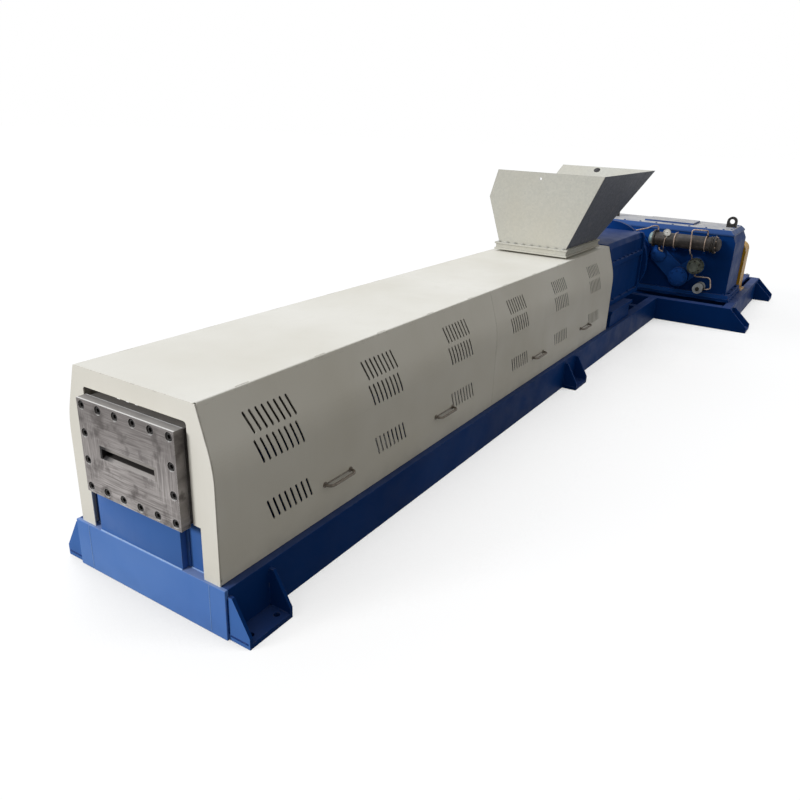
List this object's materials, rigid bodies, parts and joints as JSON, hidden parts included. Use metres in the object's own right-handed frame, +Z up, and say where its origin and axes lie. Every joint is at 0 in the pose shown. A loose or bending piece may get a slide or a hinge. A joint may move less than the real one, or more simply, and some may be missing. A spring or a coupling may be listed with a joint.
{
  "type": "plastic extruder",
  "caption": "Long single-screw plastic extruder: cream vented hood over a heated barrel, flat slot die, open feed hopper, and a blue gearbox with oil cooler on a welded base frame.",
  "frame": {"origin": "on the floor, on the barrel's centre line, under the front face of the hood, on the front plate's underside", "axes": "+X along the machine from the die to the motor bed, +Y to the left, +Z up"},
  "size_m": [7.44, 1.76, 1.384],
  "materials": {
    "cream_paint": "satin",
    "blue_paint": "satin",
    "bare_steel": "machined",
    "heater_metal": "dull",
    "galvanised_sheet": "galvanised",
    "dark_iron": "oily",
    "grey_paint": "satin",
    "yellow_paint": "satin"
  },
  "bodies": {
    "machine": {"right_rail": "blue_paint", "left_rail": "blue_paint", "front_plate": "blue_paint", "cross_members": "blue_paint", "rail_feet": "blue_paint", "drive_end_beams": "blue_paint", "drive_side_rails": "blue_paint", "drive_mid_beams": "blue_paint", "drive_feet": "blue_paint", "gearbox_bed": "blue_paint", "motor_rails": "blue_paint", "barrel": "bare_steel", "screw": "bare_steel", "heater_bands": "heater_metal", "barrel_supports": "blue_paint", "front_pedestal": "blue_paint", "die_front_plate": "bare_steel", "die_back_plate": "bare_steel", "hood_top": "cream_paint", "hood_front_panel": "cream_paint", "hood_rear_panel": "cream_paint", "hood_mid_frame": "cream_paint", "hood_sills": "cream_paint", "hinge_pins": "bare_steel", "feed_section": "blue_paint", "hopper_collar": "galvanised_sheet", "hopper_front_wall": "galvanised_sheet", "hopper_back_wall": "galvanised_sheet", "hopper_right_wall": "galvanised_sheet", "hopper_left_wall": "galvanised_sheet", "feed_pedestal": "blue_paint", "feed_housing": "blue_paint", "thrust_housing": "blue_paint", "gearbox_case": "blue_paint", "gearbox_lid": "blue_paint", "lifting_lugs": "dark_iron", "input_shaft": "bare_steel", "oil_cooler": "dark_iron", "cooler_saddles": "blue_paint", "oil_pump": "dark_iron", "oil_filter": "grey_paint", "coupling_guard": "yellow_paint"},
    "right_front_door": {"right_front_door": "cream_paint", "right_front_handles": "bare_steel"},
    "right_rear_door": {"right_rear_door": "cream_paint", "right_rear_handles": "bare_steel"},
    "left_front_door": {"left_front_door": "cream_paint", "left_front_handles": "bare_steel"},
    "left_rear_door": {"left_rear_door": "cream_paint", "left_rear_handles": "bare_steel"}
  },
  "joints": [
    {"name": "right_front_door_hinge", "type": "hinge", "parent": "machine", "child": "right_front_door", "pos_m": [1.0285, -0.295, 0.8368], "axis": [-1, 0, 0], "range_deg": [0, 80]},
    {"name": "right_rear_door_hinge", "type": "hinge", "parent": "machine", "child": "right_rear_door", "pos_m": [3.0715, -0.295, 0.8368], "axis": [-1, 0, 0], "range_deg": [0, 80]},
    {"name": "left_front_door_hinge", "type": "hinge", "parent": "machine", "child": "left_front_door", "pos_m": [1.0285, 0.295, 0.8368], "axis": [1, 0, 0], "range_deg": [0, 80]},
    {"name": "left_rear_door_hinge", "type": "hinge", "parent": "machine", "child": "left_rear_door", "pos_m": [3.0715, 0.295, 0.8368], "axis": [1, 0, 0], "range_deg": [0, 80]}
  ]
}
